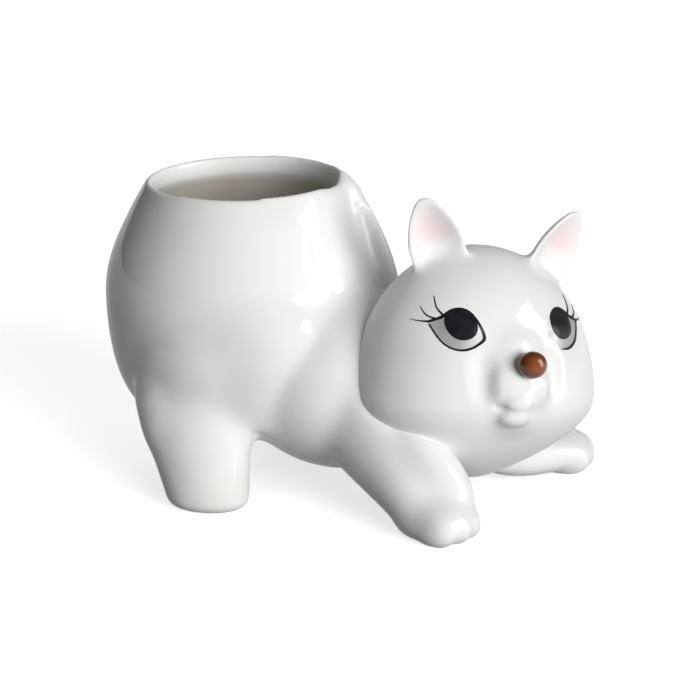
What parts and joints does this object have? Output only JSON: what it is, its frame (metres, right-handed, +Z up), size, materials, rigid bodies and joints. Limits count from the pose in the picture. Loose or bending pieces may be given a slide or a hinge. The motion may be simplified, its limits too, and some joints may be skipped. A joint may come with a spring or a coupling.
{
  "type": "animal-shaped planter",
  "caption": "Glazed ceramic planter in the form of a crouching animal: an egg-shaped pot with an open round mouth as its rump, a round head turned aside, and short legs to stand on.",
  "frame": {"origin": "the middle of the bounding box on the table the planter stands on", "axes": "+X the way the animal heads, from the pot towards the head; +Y towards the animal's left; +Z up from the table"},
  "size_m": [0.195, 0.1336, 0.116],
  "materials": {
    "white_glaze": "gloss",
    "brown_glaze": "gloss",
    "pink_glaze": "gloss",
    "black_enamel": "gloss"
  },
  "bodies": {
    "root": {"pot_body": "white_glaze", "head": "white_glaze", "nose": "brown_glaze", "tail": "white_glaze", "right_ear": "white_glaze", "left_ear": "white_glaze", "right_ear_lining": "pink_glaze", "left_ear_lining": "pink_glaze", "right_eye_pupil": "black_enamel", "left_eye_pupil": "black_enamel", "right_eye_lines": "black_enamel", "left_eye_lines": "black_enamel", "right_front_leg": "white_glaze", "left_front_leg": "white_glaze", "right_hind_leg": "white_glaze", "left_hind_leg": "white_glaze"}
  },
  "joints": []
}
